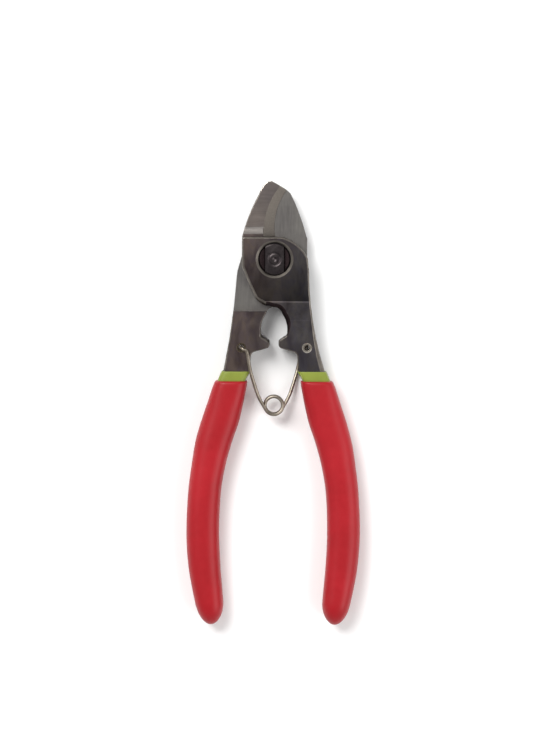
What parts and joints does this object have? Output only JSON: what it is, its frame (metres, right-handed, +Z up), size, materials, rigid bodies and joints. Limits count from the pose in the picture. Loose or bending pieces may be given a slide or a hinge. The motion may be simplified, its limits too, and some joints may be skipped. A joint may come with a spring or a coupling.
{
  "type": "nipper-type pet nail clipper",
  "caption": "Plier-style pet nail nipper with hollow-ground bypass blades, bolted lap joint, wire torsion spring and dipped soft grips.",
  "frame": {"origin": "middle of the footprint, on the surface that the tool lies on", "axes": "+Y towards the blade tips, +Z up out of the tool's front face, +X towards the front lever's handle"},
  "size_m": [0.0508, 0.13, 0.01],
  "materials": {
    "lever_steel": "ground and polished forged steel, darker on the shanks and boss",
    "pivot_steel": "turned dark steel",
    "spring_wire": "drawn spring wire",
    "grip_undercoat": "soft yellow-green dipped vinyl",
    "grip_cover": "soft red dipped vinyl, satin"
  },
  "bodies": {
    "front_lever_body": {"front_lever": "lever_steel", "right_grip_undercoat": "grip_undercoat", "right_grip_cover": "grip_cover"},
    "rear_lever_body": {"rear_lever": "lever_steel", "pivot_bolt": "pivot_steel", "pivot_washer": "pivot_steel", "pivot_nut": "pivot_steel", "left_grip_undercoat": "grip_undercoat", "left_grip_cover": "grip_cover"},
    "spring_right": {"spring_right_half": "spring_wire"},
    "spring_left": {"spring_left_half": "spring_wire"}
  },
  "joints": [
    {"name": "lever_pivot", "type": "hinge", "parent": "front_lever_body", "child": "rear_lever_body", "pos_m": [0, 0.0423, 0.005], "axis": [0, 0, -1], "range_deg": [-5.8, 20], "stiffness_Nm_per_rad": 0.35, "springref_deg": 28.65},
    {"name": "spring_right_turn", "type": "hinge", "parent": "front_lever_body", "child": "spring_right", "pos_m": [0.0096, 0.0164, 0.005], "axis": [0, 0, -1], "range_deg": [-8, 27]},
    {"name": "spring_left_turn", "type": "hinge", "parent": "rear_lever_body", "child": "spring_left", "pos_m": [-0.0096, 0.0164, 0.005], "axis": [0, 0, 1], "range_deg": [-8, 27]}
  ],
  "couplings": [
    {"joint": "spring_right_turn", "follows": "lever_pivot", "ratio": 1.3},
    {"joint": "spring_left_turn", "follows": "lever_pivot", "ratio": 1.3}
  ]
}
